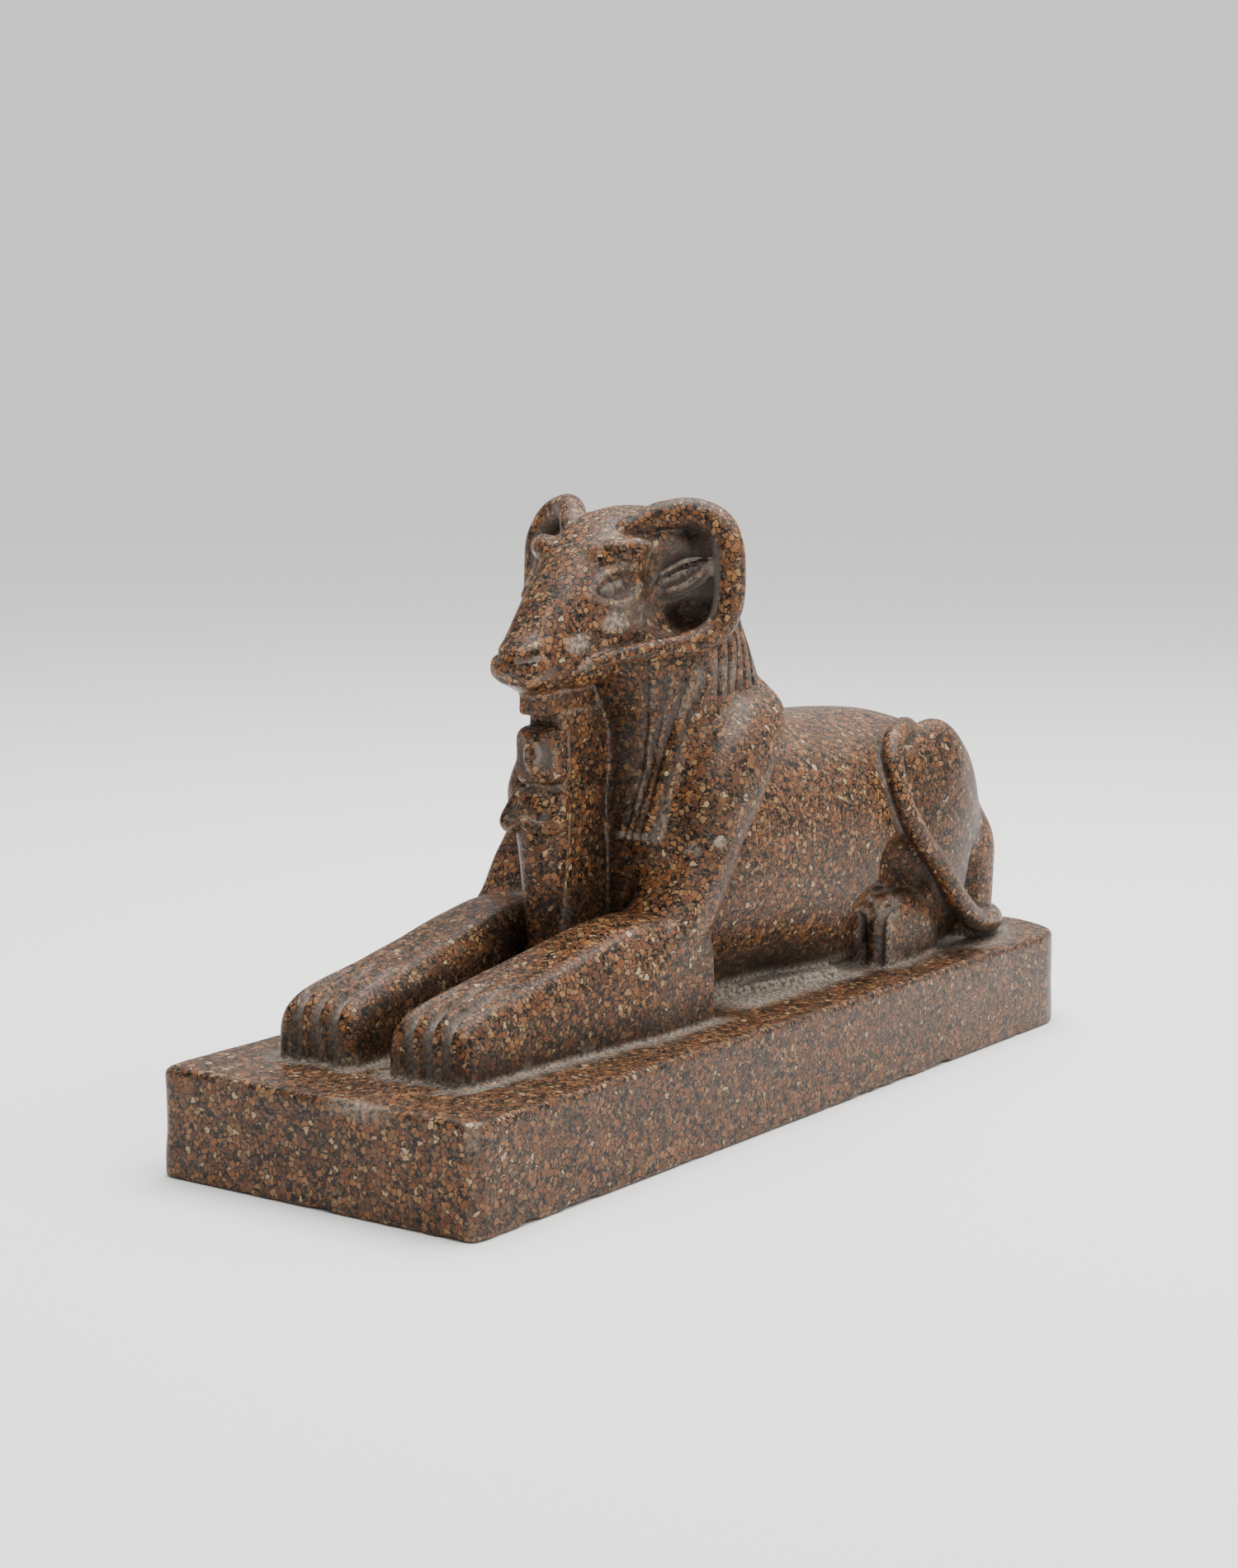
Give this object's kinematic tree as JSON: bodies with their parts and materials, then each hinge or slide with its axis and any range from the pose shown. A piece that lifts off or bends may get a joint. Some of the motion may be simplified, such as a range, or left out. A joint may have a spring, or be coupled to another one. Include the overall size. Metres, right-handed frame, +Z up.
{
  "type": "ram-headed sphinx statuette",
  "caption": "Lying ram-headed sphinx on a low plinth, carved in red granite, with a small wrapped royal figure standing under its chin.",
  "frame": {"origin": "middle of the underside of the plinth", "axes": "+Z up, the statue looks along -Y, +X is the statue's own left side"},
  "size_m": [0.12, 0.361, 0.1984],
  "materials": {
    "red_granite": "red-brown granite with orange, grey, black and cream grains, polished and slightly worn"
  },
  "bodies": {
    "root": {"ram_sphinx": "red_granite"}
  },
  "joints": []
}
